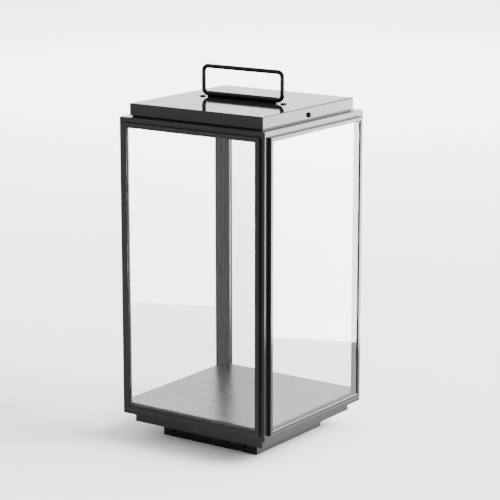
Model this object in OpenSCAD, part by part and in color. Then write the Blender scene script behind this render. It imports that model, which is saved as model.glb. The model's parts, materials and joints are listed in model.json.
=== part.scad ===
// Square candle lantern: glazed metal frame on a stepped base, lift-off cap with a folding handle.
// Units are millimetres. +Z is up, the floor is z = 0 and the front pane faces -Y.

/* [Body] */
// Outer width and depth of the glazed frame
body_w = 300; // [200:5:400]
// Height of the glazed frame, sill to header
body_h = 524.5; // [300:0.5:800]
// Height of the sill face, level with the floor tray
sill_h = 21; // [16:0.5:30]
// Height of the header face
header_h = 17; // [15:0.5:30]
// Face width of each corner post
post_w = 17; // [14:0.5:24]
// How far the level flanges reach past what stands on them
flange_lip = 1.5; // [1:0.5:6]
// Thickness of the frame angle
angle_t = 3; // [2:0.5:5]
// Inside corner radius of the post angle
angle_fillet = 3; // [1:0.5:5]

/* [Glazing] */
// Thickness of each glass pane
glass_t = 4; // [3:0.5:6]
// Metal left showing outside each bead frame
bead_margin = 9.2; // [6:0.1:14]
// Face width of a glazing bead
bead_w = 7.9; // [6:0.1:12]
// Thickness of the bead's lip over the glass edge
bead_lip = 2; // [1.4:0.1:4]
// Width of the bead foot beside the glass edge
bead_foot = 4; // [2.5:0.1:6]
// Chamfer on the bead's outer edges
bead_chamfer = 1.2; // [0.4:0.1:2]
// Gap between glass edge and bead foot
glass_gap = 0.2; // [0.1:0.05:0.5]

/* [Base] */
// Thickness of the soft foot pads
pad_t = 1; // [0.5:0.5:4]
// Diameter of the foot pads
pad_dia = 12; // [8:1:13]
// Outer width of the plinth
plinth_w = 200; // [140:5:260]
// Height of the plinth metal above the pads
plinth_h = 27.5; // [18:0.5:60]
// How far the step stands in from the body on each side
step_inset = 15; // [5:0.5:40]
// Height of the step
step_h = 17; // [10:0.5:40]
// Sheet thickness of plinth, step and floor tray
sheet_t = 2; // [1.5:0.5:3]
// Width of the plinth's inner flanges
plinth_flange = 15; // [13:0.5:20]
// Diameter of the plinth vent holes
vent_dia = 4.5; // [3:0.5:8]
// Spacing of the vent holes
vent_pitch = 38; // [25:1:45]
// Height of the vent holes above the floor
vent_z = 11.2; // [8:0.1:16]

/* [Cap] */
// How far the cap stands in from the body on each side
cap_inset = 12.5; // [4:0.5:40]
// Height of the cap's side
cap_h = 20.5; // [16:0.5:40]
// Sheet thickness of the cap
cap_t = 2; // [1.5:0.5:3]
// Chamfer on the cap's upper edges
cap_chamfer = 1.3; // [0.5:0.1:2]
// Shadow gap between header and cap
cap_gap = 2; // [1:0.5:6]
// Side clearance between cap and collar
collar_gap = 1; // [0.6:0.1:2]
// Thickness of the collar bar
collar_t = 3; // [2:0.5:5]

/* [Handle] */
// Rod diameter of the handle
rod_dia = 7.5; // [5:0.5:10]
// Distance between the handle's leg centres
handle_w = 164; // [100:2:220]
// Height from pivot to top bar centre
handle_rise = 48; // [35:1:80]
// Bend radius of the rod centre line
bend_r = 9; // [7:0.5:14]
// How far the pivot barrel ends short of the handle's bends
barrel_end = 1; // [0.5:0.5:20]
// Wall of the pivot barrel
barrel_wall = 1.1; // [0.8:0.1:2]
// Radial running clearance of the rod in its barrel
rod_gap = 0.05; // [0.02:0.01:0.1]
// Thickness of the strip under the barrel
strip_t = 1.5; // [1:0.1:3]
// Width of the strip under the barrel
strip_w = 8; // [6:0.5:24]
// Diameter of the buffers under the handle's bends
buffer_dia = 10; // [6:0.5:16]
// How far the buffers stand outside the leg centres
buffer_out = 2.5; // [0:0.5:10]

/* [Cap screws] */
// Shank diameter of the cap's side screws
screw_dia = 5; // [3:0.5:6]
// Head diameter of the side screws
screw_head = 8.6; // [6:0.1:12]
// Head height of the side screws
screw_head_h = 3; // [2:0.1:5]
// Radial running clearance of the screw
screw_gap = 0.05; // [0.02:0.01:0.1]
// Diameter of the washer under the head
washer_dia = 9.6; // [8:0.1:14]
// Thickness of the washer
washer_t = 0.8; // [0.5:0.1:1.5]
// Hex socket size across flats
hex_af = 3; // [2:0.5:4]

/* [Base screws] */
// Shank diameter of the base screws
bolt_dia = 5; // [4:0.5:6]
// Clearance hole diameter for the base screws
bolt_hole = 5.6; // [4.4:0.1:7]
// Diameter of the access hole below each base screw
access_hole = 11; // [8:0.5:12]
// Head diameter of the base screws
bolt_head = 9; // [7:0.5:11]
// Head height of the base screws
bolt_head_h = 3.2; // [2:0.1:5]
// Nut size across flats
nut_af = 8; // [7:0.5:11]
// Nut height
nut_h = 4; // [3:0.1:6]

/* [Hidden] */
$fn = 64;
// gap left between the mitred ends of neighbouring bars
mitre_gap = 0.1;
// gap kept between pieces that move past each other
move_gap = 0.3;
// overshoot of cutting shapes
cut = 1;
bore_fn = 96;

plinth_z = pad_t;
step_z = plinth_z + plinth_h;
body_z = step_z + step_h;
body_top = body_z + body_h;
cap_z = body_top + cap_gap;
cap_top = cap_z + cap_h;
face = body_w / 2;
post_h = body_h - sill_h - header_h;
step_w = body_w - 2 * step_inset;
sill_flange = step_inset + sheet_t + flange_lip;

tray_w = body_w - 2 * angle_t - 1;
tray_top = body_z + sill_h;
tray_h = sill_h - angle_t;

frame_w = body_w - 2 * bead_margin;
frame_h = body_h - 2 * bead_margin;
glass_w = frame_w - 2 * (bead_foot + glass_gap);
glass_h = frame_h - 2 * (bead_foot + glass_gap);
bead_d = glass_t + bead_lip;
bead_cut = min(bead_chamfer, bead_lip * 0.7);

cap_w = body_w - 2 * cap_inset;
cap_in = cap_w - 2 * cap_t;
cap_cut = min(cap_chamfer, cap_t * 0.7);
collar_w = cap_in - 2 * collar_gap;
header_flange = cap_inset + cap_t + collar_gap + collar_t + flange_lip;
collar_h = cap_top - cap_t - move_gap - body_top;

step_flange = (step_w - plinth_w) / 2 + plinth_flange + cut;
bolt_r = plinth_w / 2 - (sheet_t + plinth_flange) / 2;
pad_r = plinth_w / 2 - (sheet_t + plinth_flange) / 2;
bolt_tip = 1.5;

barrel_len = handle_w - 2 * bend_r - 2 * barrel_end;
barrel_bore = rod_dia + 2 * rod_gap;
barrel_od = barrel_bore + 2 * barrel_wall;
barrel_sink = barrel_wall / 2;
pivot_z = cap_top + strip_t + barrel_od / 2 - barrel_sink;
grip_z = pivot_z + handle_rise;
buffer_h = pivot_z - rod_dia / 2 - move_gap - cap_top;

screw_z = cap_z + 7;
screw_hole = screw_dia + 2 * screw_gap;
washer_x = cap_w / 2 + move_gap;
head_x = washer_x + washer_t + move_gap;
tip_x = collar_w / 2 + move_gap + 0.1;
hex_depth = screw_head_h * 0.6;

metal = [0.16, 0.16, 0.17];
rod_metal = [0.10, 0.10, 0.11];
plate_metal = [0.62, 0.63, 0.64];
pane = [0.85, 0.92, 0.90, 0.30];
rubber = [0.08, 0.08, 0.08];
zinc = [0.55, 0.56, 0.58];

// One mitred bar on the -Y side of a square ring.
// The child outline is drawn as (distance inward, height).
module ring_side(w, z, h) {
    intersection() {
        translate([-w / 2, -w / 2, z])
            rotate([90, 0, 90])
                linear_extrude(w)
                    children();
        translate([0, 0, z - cut])
            linear_extrude(h + 2 * cut)
                polygon([
                    [-w / 2 + mitre_gap - cut, -w / 2 - cut],
                    [w / 2 - mitre_gap + cut, -w / 2 - cut],
                    [0, -mitre_gap]
                ]);
    }
}

module ring(w, z, h) {
    for (turn = [0:90:270])
        rotate([0, 0, turn])
            ring_side(w, z, h)
                children();
}

module foot_pads() {
    color(rubber)
        for (sx = [-1, 1])
            for (sy = [-1, 1])
                translate([sx * pad_r, sy * pad_r, 0])
                    cylinder(d = pad_dia, h = pad_t);
}

module plinth_section() {
    difference() {
        square([plinth_flange, plinth_h]);
        translate([sheet_t, sheet_t])
            square([plinth_flange, plinth_h - 2 * sheet_t]);
    }
}

module bolt_holes(z, dia) {
    for (turn = [0:90:270])
        rotate([0, 0, turn])
            translate([bolt_r, 0, z])
                cylinder(d = dia, h = sheet_t + 2 * cut);
}

module vent_holes() {
    for (k = [-2, -1, 1, 2])
        translate([k * vent_pitch, -plinth_w / 2 + sheet_t + cut, vent_z])
            rotate([90, 0, 0])
                cylinder(d = vent_dia, h = sheet_t + 2 * cut);
}

module plinth() {
    color(metal)
        difference() {
            ring(plinth_w, plinth_z, plinth_h)
                plinth_section();
            bolt_holes(step_z - sheet_t - cut, bolt_hole);
            bolt_holes(plinth_z - cut, access_hole);
            vent_holes();
        }
}

module base_screws() {
    color(zinc)
        for (turn = [0:90:270])
            rotate([0, 0, turn])
                translate([bolt_r, 0, step_z - sheet_t - bolt_head_h]) {
                    cylinder(d = bolt_head, h = bolt_head_h);
                    cylinder(d = bolt_dia, h = bolt_head_h + 2 * sheet_t + nut_h + bolt_tip);
                }
}

module base_nuts() {
    color(zinc)
        for (turn = [0:90:270])
            rotate([0, 0, turn])
                translate([bolt_r, 0, step_z + sheet_t])
                    difference() {
                        cylinder(d = nut_af / cos(30), h = nut_h, $fn = 6);
                        translate([0, 0, -cut])
                            cylinder(d = bolt_dia + 2 * screw_gap, h = nut_h + 2 * cut);
                    }
}

module step_section() {
    square([step_flange, sheet_t]);
    square([sheet_t, step_h]);
}

module step() {
    color(metal)
        difference() {
            ring(step_w, step_z, step_h)
                step_section();
            bolt_holes(step_z - cut, bolt_hole);
        }
}

module sill_frame() {
    color(metal)
        ring(body_w, body_z, sill_h) {
            union() {
                square([angle_t, sill_h]);
                square([sill_flange, angle_t]);
            }
        }
}

module header_frame() {
    color(metal)
        ring(body_w, body_top - header_h, header_h) {
            union() {
                square([angle_t, header_h]);
                translate([0, header_h - angle_t])
                    square([header_flange, angle_t]);
            }
        }
}

module post(turn) {
    color(metal)
        rotate([0, 0, turn])
            translate([-face, -face, body_z + sill_h])
                linear_extrude(post_h) {
                    square([angle_t, post_w]);
                    square([post_w, angle_t]);
                    translate([angle_t, angle_t])
                        difference() {
                            square(angle_fillet);
                            translate([angle_fillet, angle_fillet])
                                circle(angle_fillet);
                        }
                }
}

module post_front_left() {
    post(0);
}

module post_front_right() {
    post(90);
}

module post_back_right() {
    post(180);
}

module post_back_left() {
    post(270);
}

module floor_tray() {
    color(plate_metal)
        difference() {
            translate([-tray_w / 2, -tray_w / 2, tray_top - tray_h])
                cube([tray_w, tray_w, tray_h]);
            translate([-tray_w / 2 + sheet_t, -tray_w / 2 + sheet_t, tray_top - tray_h - cut])
                cube([tray_w - 2 * sheet_t, tray_w - 2 * sheet_t, tray_h - sheet_t + cut]);
        }
}

module glass(turn) {
    color(pane)
        rotate([0, 0, turn])
            translate([-glass_w / 2, -face - glass_t, body_z + (body_h - glass_h) / 2])
                cube([glass_w, glass_t, glass_h]);
}

module glass_front() {
    glass(0);
}

module glass_right() {
    glass(90);
}

module glass_back() {
    glass(180);
}

module glass_left() {
    glass(270);
}

// Bead outline, drawn as (distance from its outer edge, distance out of the face).
module bead_section() {
    polygon([
        [0, 0],
        [bead_foot, 0],
        [bead_foot, glass_t],
        [bead_w, glass_t],
        [bead_w, bead_d - bead_cut],
        [bead_w - bead_cut, bead_d],
        [bead_cut, bead_d],
        [0, bead_d - bead_cut]
    ]);
}

// One mitred bead of length len, lying along X on the XY plane, outer edge at y = 0.
module bead_strip(len) {
    intersection() {
        translate([-len / 2, 0, 0])
            rotate([90, 0, 90])
                linear_extrude(len)
                    bead_section();
        translate([0, 0, -cut])
            linear_extrude(bead_d + 2 * cut)
                polygon([
                    [-len / 2 + mitre_gap - cut, -cut],
                    [len / 2 - mitre_gap + cut, -cut],
                    [len / 2 - mitre_gap - bead_w - cut, bead_w + cut],
                    [-len / 2 + mitre_gap + bead_w + cut, bead_w + cut]
                ]);
    }
}

module bead_frame(turn) {
    color(metal)
        rotate([0, 0, turn])
            translate([0, -face, body_z + body_h / 2])
                rotate([90, 0, 0])
                    for (flip = [0, 180])
                        rotate([0, 0, flip]) {
                            translate([0, -frame_h / 2, 0])
                                bead_strip(frame_w);
                            rotate([0, 0, 90])
                                translate([0, -frame_w / 2, 0])
                                    bead_strip(frame_h);
                        }
}

module bead_front() {
    bead_frame(0);
}

module bead_right() {
    bead_frame(90);
}

module bead_back() {
    bead_frame(180);
}

module bead_left() {
    bead_frame(270);
}

module lid_collar() {
    color(metal)
        ring(collar_w, body_top, collar_h)
            square([collar_t, collar_h]);
}

module cap() {
    color(metal)
        difference() {
            hull() {
                translate([-cap_w / 2, -cap_w / 2, cap_z])
                    cube([cap_w, cap_w, cap_h - cap_cut]);
                translate([-cap_w / 2 + cap_cut, -cap_w / 2 + cap_cut, cap_z])
                    cube([cap_w - 2 * cap_cut, cap_w - 2 * cap_cut, cap_h]);
            }
            translate([-cap_in / 2, -cap_in / 2, cap_z - cut])
                cube([cap_in, cap_in, cap_h - cap_t + cut]);
            for (side = [-1, 1])
                translate([side * (cap_w / 2 - cap_t / 2), 0, screw_z])
                    rotate([0, 90, 0])
                        cylinder(d = screw_hole, h = cap_t + 2 * cut, center = true, $fn = bore_fn);
        }
}

module handle_saddle() {
    color(rod_metal)
        difference() {
            union() {
                translate([-barrel_len / 2, -strip_w / 2, cap_top])
                    cube([barrel_len, strip_w, strip_t]);
                translate([-barrel_len / 2, 0, pivot_z])
                    rotate([0, 90, 0])
                        cylinder(d = barrel_od, h = barrel_len, $fn = bore_fn);
            }
            translate([-barrel_len / 2 - cut, 0, pivot_z])
                rotate([0, 90, 0])
                    cylinder(d = barrel_bore, h = barrel_len + 2 * cut, $fn = bore_fn);
        }
}

module handle_buffers() {
    color(rubber)
        for (side = [-1, 1])
            translate([side * (handle_w / 2 + buffer_out), 0, cap_top])
                cylinder(d = buffer_dia, h = buffer_h, $fn = bore_fn);
}

module rod_x(z) {
    translate([-handle_w / 2 + bend_r, 0, z])
        rotate([0, 90, 0])
            cylinder(d = rod_dia, h = handle_w - 2 * bend_r, $fn = bore_fn);
}

module rod_leg(x) {
    translate([x, 0, pivot_z + bend_r])
        cylinder(d = rod_dia, h = handle_rise - 2 * bend_r, $fn = bore_fn);
}

module rod_bend(x, z, start) {
    translate([x, 0, z])
        rotate([90, 0, 0])
            rotate([0, 0, start])
                rotate_extrude(angle = 90, $fn = bore_fn)
                    translate([bend_r, 0])
                        circle(d = rod_dia, $fn = bore_fn);
}

module handle() {
    color(rod_metal) {
        rod_x(pivot_z);
        rod_x(grip_z);
        rod_leg(-handle_w / 2);
        rod_leg(handle_w / 2);
        rod_bend(handle_w / 2 - bend_r, grip_z - bend_r, 0);
        rod_bend(-handle_w / 2 + bend_r, grip_z - bend_r, 90);
        rod_bend(-handle_w / 2 + bend_r, pivot_z + bend_r, 180);
        rod_bend(handle_w / 2 - bend_r, pivot_z + bend_r, 270);
    }
}

// Side screw along +X, mirrored by the caller's turn.
module side_screw() {
    color(rod_metal)
        difference() {
            translate([tip_x, 0, screw_z])
                rotate([0, 90, 0]) {
                    cylinder(d = screw_dia, h = head_x - tip_x + cut / 2, $fn = bore_fn);
                    translate([0, 0, head_x - tip_x])
                        cylinder(d = screw_head, h = screw_head_h, $fn = bore_fn);
                }
            translate([head_x + screw_head_h - hex_depth, 0, screw_z])
                rotate([0, 90, 0])
                    cylinder(d = hex_af / cos(30), h = hex_depth + cut, $fn = 6);
        }
}

module side_washer() {
    color(zinc)
        translate([washer_x, 0, screw_z])
            rotate([0, 90, 0])
                difference() {
                    cylinder(d = washer_dia, h = washer_t, $fn = bore_fn);
                    translate([0, 0, -cut])
                        cylinder(d = screw_hole, h = washer_t + 2 * cut, $fn = bore_fn);
                }
}

module cap_screw_right() {
    side_screw();
}

module cap_screw_left() {
    rotate([0, 0, 180])
        side_screw();
}

module cap_washer_right() {
    side_washer();
}

module cap_washer_left() {
    rotate([0, 0, 180])
        side_washer();
}

foot_pads();
plinth();
base_screws();
base_nuts();
step();
sill_frame();
post_front_left();
post_front_right();
post_back_right();
post_back_left();
header_frame();
floor_tray();
glass_front();
glass_right();
glass_back();
glass_left();
bead_front();
bead_right();
bead_back();
bead_left();
lid_collar();
cap();
handle_saddle();
handle_buffers();
handle();
cap_screw_right();
cap_screw_left();
cap_washer_right();
cap_washer_left();
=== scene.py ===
import json
import math

import bpy
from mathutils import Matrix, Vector


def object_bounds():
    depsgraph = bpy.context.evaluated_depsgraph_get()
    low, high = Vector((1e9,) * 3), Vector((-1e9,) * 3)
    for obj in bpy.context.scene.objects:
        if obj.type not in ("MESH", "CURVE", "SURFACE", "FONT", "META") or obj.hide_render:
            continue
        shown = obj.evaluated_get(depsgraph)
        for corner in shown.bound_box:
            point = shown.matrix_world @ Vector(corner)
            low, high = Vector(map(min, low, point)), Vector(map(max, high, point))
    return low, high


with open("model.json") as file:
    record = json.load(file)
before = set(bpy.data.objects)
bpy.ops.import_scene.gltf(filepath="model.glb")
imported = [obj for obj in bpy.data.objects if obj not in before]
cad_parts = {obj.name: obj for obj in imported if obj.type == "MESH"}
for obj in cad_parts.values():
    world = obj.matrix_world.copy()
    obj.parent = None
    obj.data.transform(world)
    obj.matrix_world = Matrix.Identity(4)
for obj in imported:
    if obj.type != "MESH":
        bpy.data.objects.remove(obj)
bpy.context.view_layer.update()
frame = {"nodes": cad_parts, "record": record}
nodes = frame["nodes"]

# Metres, watts and degrees. Tones are display values from 0 to 1.

# the height of the grain in paint and brushed metal
GRAIN_DEPTH = 0.0002


# ---------------------------------------------------------------- helpers

def srgb(v):
    """A display value of 0 to 1 as the linear value that a shader takes."""
    return v / 12.92 if v <= 0.04045 else ((v + 0.055) / 1.055) ** 2.4


def grey(v):
    """A display grey as a shader colour."""
    return (srgb(v), srgb(v), srgb(v), 1.0)


class Mat:
    """A node material, with short calls for the nodes that this scene uses."""

    def __init__(self, name):
        self.mat = bpy.data.materials.new(name)
        self.mat.use_nodes = True
        self.tree = self.mat.node_tree
        self.tree.nodes.clear()
        self.out = self.tree.nodes.new("ShaderNodeOutputMaterial")

    def add(self, kind):
        return self.tree.nodes.new(kind)

    def link(self, a, b):
        self.tree.links.new(a, b)

    def coords(self, scale=(1.0, 1.0, 1.0)):
        """The piece's own coordinates, stretched by a scale on each axis."""
        place = self.add("ShaderNodeTexCoord")
        stretch = self.add("ShaderNodeMapping")
        stretch.inputs["Scale"].default_value = scale
        self.link(place.outputs["Object"], stretch.inputs["Vector"])
        return stretch.outputs["Vector"]

    def noise(self, vector, scale, detail, rough):
        n = self.add("ShaderNodeTexNoise")
        n.inputs["Scale"].default_value = scale
        n.inputs["Detail"].default_value = detail
        n.inputs["Roughness"].default_value = rough
        self.link(vector, n.inputs["Vector"])
        return n.outputs["Fac"]

    def ramp(self, fac, low, high, a=0.0, b=1.0):
        """The part of fac from low to high, spread over a to b."""
        n = self.add("ShaderNodeMapRange")
        n.inputs["From Min"].default_value = low
        n.inputs["From Max"].default_value = high
        n.inputs["To Min"].default_value = a
        n.inputs["To Max"].default_value = b
        self.link(fac, n.inputs["Value"])
        return n.outputs["Result"]

    def mix(self, fac, a, b):
        """Colour a where fac is 0, and colour b where it is 1."""
        n = self.add("ShaderNodeMix")
        n.data_type = "RGBA"
        n.inputs[6].default_value = a
        n.inputs[7].default_value = b
        self.link(fac, n.inputs[0])
        return n.outputs[2]

    def bump(self, height, strength):
        n = self.add("ShaderNodeBump")
        n.inputs["Strength"].default_value = strength
        n.inputs["Distance"].default_value = GRAIN_DEPTH
        self.link(height, n.inputs["Height"])
        return n.outputs["Normal"]

    def done(self, shader):
        self.link(shader.outputs[0], self.out.inputs["Surface"])
        return self.mat


# ---------------------------------------------------------------- materials

PAINT_GLOSS = 0.15
GLASS_IOR = 1.45
GLASS_TINT = (0.955, 0.975, 0.965, 1.0)
GLASS_SHEEN = (0.9, 0.93, 0.92, 1.0)


def satin_metal(name, tone, rough, seed=0.0, peel=0.12):
    """Dark painted metal with a fine orange peel, slight mottling and an uneven sheen."""
    m = Mat(name)
    v = m.coords()
    mottle = m.noise(v, scale=9.0 + seed, detail=4.0, rough=0.55)
    orange_peel = m.noise(v, scale=900.0, detail=2.0, rough=0.5)
    smear = m.noise(m.coords((30.0, 30.0, 6.0)), scale=3.0, detail=5.0, rough=0.6)
    col = m.mix(m.ramp(mottle, 0.35, 0.65), grey(tone * 0.92), grey(tone * 1.07))
    s = m.add("ShaderNodeBsdfPrincipled")
    s.inputs["Specular IOR Level"].default_value = PAINT_GLOSS
    m.link(col, s.inputs["Base Color"])
    m.link(m.ramp(smear, 0.3, 0.7, rough * 0.86, rough * 1.16), s.inputs["Roughness"])
    m.link(m.bump(orange_peel, peel), s.inputs["Normal"])
    return m.done(s)


def plate_metal(name, tone, rough, along, grain):
    """Brushed bare metal, streaked along one axis."""
    m = Mat(name)
    lines = m.noise(m.coords(along), scale=420.0, detail=3.0, rough=0.6)
    cloud = m.noise(m.coords(), scale=7.0, detail=4.0, rough=0.55)
    col = m.mix(m.ramp(cloud, 0.3, 0.7), grey(tone * 0.93), grey(tone * 1.05))
    s = m.add("ShaderNodeBsdfPrincipled")
    s.inputs["Metallic"].default_value = 1.0
    m.link(col, s.inputs["Base Color"])
    m.link(m.ramp(lines, 0.3, 0.7, rough * 0.9, rough * 1.12), s.inputs["Roughness"])
    m.link(m.bump(lines, grain), s.inputs["Normal"])
    return m.done(s)


def plain(name, tone, rough, metallic=0.0):
    """A small part's surface: one tone with slight clouding and a fine grain."""
    m = Mat(name)
    fine = m.noise(m.coords(), scale=500.0, detail=3.0, rough=0.6)
    cloud = m.noise(m.coords(), scale=40.0, detail=3.0, rough=0.5)
    col = m.mix(m.ramp(cloud, 0.3, 0.7), grey(tone * 0.9), grey(tone * 1.08))
    s = m.add("ShaderNodeBsdfPrincipled")
    s.inputs["Metallic"].default_value = metallic
    s.inputs["Roughness"].default_value = rough
    m.link(col, s.inputs["Base Color"])
    m.link(m.bump(fine, 0.15), s.inputs["Normal"])
    return m.done(s)


def pane_glass(name):
    """Clear float glass: see-through, a Fresnel share of mirror where light enters it, and faint smears."""
    m = Mat(name)
    smear = m.noise(m.coords((1.0, 1.0, 0.35)), scale=14.0, detail=5.0, rough=0.6)
    clear = m.add("ShaderNodeBsdfTransparent")
    clear.inputs["Color"].default_value = GLASS_TINT
    shine = m.add("ShaderNodeBsdfGlossy")
    shine.inputs["Color"].default_value = GLASS_SHEEN
    m.link(m.ramp(smear, 0.45, 0.75, 0.0, 0.04), shine.inputs["Roughness"])
    fresnel = m.add("ShaderNodeFresnel")
    fresnel.inputs["IOR"].default_value = GLASS_IOR
    face = m.add("ShaderNodeNewGeometry")
    front = m.ramp(face.outputs["Backfacing"], 0.0, 1.0, 1.0, 0.0)
    share = m.add("ShaderNodeMath")
    share.operation = "MULTIPLY"
    m.link(fresnel.outputs[0], share.inputs[0])
    m.link(front, share.inputs[1])
    both = m.add("ShaderNodeMixShader")
    m.link(share.outputs[0], both.inputs[0])
    m.link(clear.outputs[0], both.inputs[1])
    m.link(shine.outputs[0], both.inputs[2])
    return m.done(both)


by_slot = {
    "frame_metal": satin_metal("frame_paint", tone=0.075, rough=0.17, seed=0.0, peel=0.08),
    "handle_metal": satin_metal("handle_paint", tone=0.03, rough=0.2, seed=3.0, peel=0.03),
    "tray_steel": plate_metal("tray_brushed", tone=0.34, rough=0.28, along=(0.02, 1.0, 1.0), grain=0.03),
    "pane": pane_glass("pane_glass"),
    "pad_rubber": plain("pad_rubber", tone=0.06, rough=0.8),
    "zinc": plain("zinc_plate", tone=0.55, rough=0.35, metallic=1.0),
}
for row in frame["record"]["subparts"]:
    mesh = nodes[row["node"]].data
    mesh.materials.clear()
    mesh.materials.append(by_slot[row["material_slot"]])

# the cap has a glossier coat than the frame
nodes["cap"].data.materials[0] = satin_metal("cap_gloss", tone=0.075, rough=0.06, seed=1.5)

# ---------------------------------------------------------------- softened edges

EDGE_WIDTH = 0.0008
EDGE_SEGMENTS = 2
EDGE_ANGLE = 40

for name, o in nodes.items():
    if name.startswith("glass_"):
        continue
    bevel = o.modifiers.new("edge", "BEVEL")
    bevel.width = EDGE_WIDTH
    bevel.segments = EDGE_SEGMENTS
    bevel.limit_method = "ANGLE"
    bevel.angle_limit = math.radians(EDGE_ANGLE)

# ---------------------------------------------------------------- stage

FLOOR_REACH = 30
FLOOR_GAP = 0.0002
FLOOR_TONE = 0.93
FLOOR_TONE_IN_GLOSS = 0.80
FLOOR_ROUGH = 0.55


def add_object(name, data):
    o = bpy.data.objects.new(name, data)
    bpy.context.scene.collection.objects.link(o)
    return o


def stage_material():
    """Matt paper, a little darker where a gloss reflects it."""
    m = Mat("stage_paper")
    s = m.add("ShaderNodeBsdfPrincipled")
    path = m.add("ShaderNodeLightPath")
    tone = m.mix(path.outputs["Is Glossy Ray"], grey(FLOOR_TONE), grey(FLOOR_TONE_IN_GLOSS))
    m.link(tone, s.inputs["Base Color"])
    s.inputs["Roughness"].default_value = FLOOR_ROUGH
    s.inputs["Specular IOR Level"].default_value = 0.0
    return m.done(s)


floor_mesh = bpy.data.meshes.new("floor")
corners = [(x * FLOOR_REACH, y * FLOOR_REACH, 0) for x, y in ((-1, -1), (1, -1), (1, 1), (-1, 1))]
floor_mesh.from_pydata(corners, [], [(0, 1, 2, 3)])
floor_mesh.materials.append(stage_material())
floor = add_object("floor", floor_mesh)
floor.location.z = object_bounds()[0].z - FLOOR_GAP

# ---------------------------------------------------------------- light

# the sky's strength as light on the scene, and as seen in a gloss
SKY_LIGHT = 1.7
SKY_SHEEN = 0.75
SKY_TINT = (0.95, 0.96, 0.97, 1.0)

SUN_POWER = 10.5
SUN_SPREAD = 40
SUN_HEADING = (-0.72, -0.30, -0.62)

world = bpy.data.worlds.new("studio")
bpy.context.scene.world = world
world.use_nodes = True
sky = world.node_tree.nodes["Background"]
sky.inputs["Color"].default_value = SKY_TINT
path = world.node_tree.nodes.new("ShaderNodeLightPath")
strength = world.node_tree.nodes.new("ShaderNodeMapRange")
strength.inputs["To Min"].default_value = SKY_LIGHT
strength.inputs["To Max"].default_value = SKY_SHEEN
world.node_tree.links.new(path.outputs["Is Glossy Ray"], strength.inputs["Value"])
world.node_tree.links.new(strength.outputs["Result"], sky.inputs["Strength"])


def heading(direction):
    """The turn that points a light or camera along a direction."""
    return Vector(direction).to_track_quat("-Z", "Y")


def area(name, place, aim, width, height, power, soft=False):
    """A rectangular light. Only a soft one lights matt surfaces; the others show in gloss alone."""
    light = bpy.data.lights.new(name, "AREA")
    light.shape = "RECTANGLE"
    light.size = width
    light.size_y = height
    light.energy = power
    o = add_object(name, light)
    o.location = place
    o.rotation_euler = heading(Vector(aim) - Vector(place)).to_euler()
    o.visible_camera = False
    o.visible_transmission = False
    o.visible_diffuse = soft
    return o


# reflected by the right faces, and stands where they mirror the camera's view
area("right_panel", (0.556, 0.582, 0.4), (0.192, -0.348, 0.4), 0.8, 0.8, 70)
# high on the left and faint: a little gloss on what faces up
area("top_panel", (-0.95, -0.35, 1.75), (0, 0, 0.4), 0.9, 0.9, 4)
# lies on the floor, where the lowest of the right faces reflect it
area("right_sheen", (0.42, 0.33, 0.001), (0.42, 0.33, 1.0), 0.64, 0.85, 5)
# reflected by the top of the cap, and softly by the tray
area("back_panel", (-1.6, 2.2, 1.7), (0, 0, 0.5), 2.2, 2.0, 46)

sun = bpy.data.lights.new("sun", "SUN")
sun.energy = SUN_POWER
sun.angle = math.radians(SUN_SPREAD)
sun_at = add_object("sun", sun)
sun_at.rotation_euler = heading(SUN_HEADING).to_euler()
sun_at.visible_glossy = False

# brightens the floor far behind the lantern, so that the backdrop has no horizon
wash = area("back_wash", (-2.2, 3.6, 3.6), (-4.0, 6.2, 0), 3.0, 3.0, 700, soft=True)
wash.visible_glossy = False
# from behind and to the right, for the shadow toward the front left
area("key", (1.0, 1.6, 2.6), (0, 0, 0.2), 1.6, 1.6, 60, soft=True)

# ---------------------------------------------------------------- camera

AZIMUTH = 34.97
ELEVATION = 12.62
DISTANCE = 3.466
AIM_RIGHT = 0.0127
AIM_UP = 0.3291
LENS = 143.1
SENSOR = 36.0

az = math.radians(AZIMUTH)
el = math.radians(ELEVATION)
back = Vector((math.sin(az) * math.cos(el), -math.cos(az) * math.cos(el), math.sin(el)))
side = Vector((math.cos(az), math.sin(az), 0.0))
cam_data = bpy.data.cameras.new("camera")
cam_data.sensor_width = SENSOR
cam_data.lens = LENS
cam_data.dof.use_dof = False
cam = add_object("camera", cam_data)
cam.location = side * AIM_RIGHT + Vector((0, 0, AIM_UP)) + back * DISTANCE
cam.rotation_mode = "QUATERNION"
cam.rotation_quaternion = heading(-back)
bpy.context.scene.camera = cam
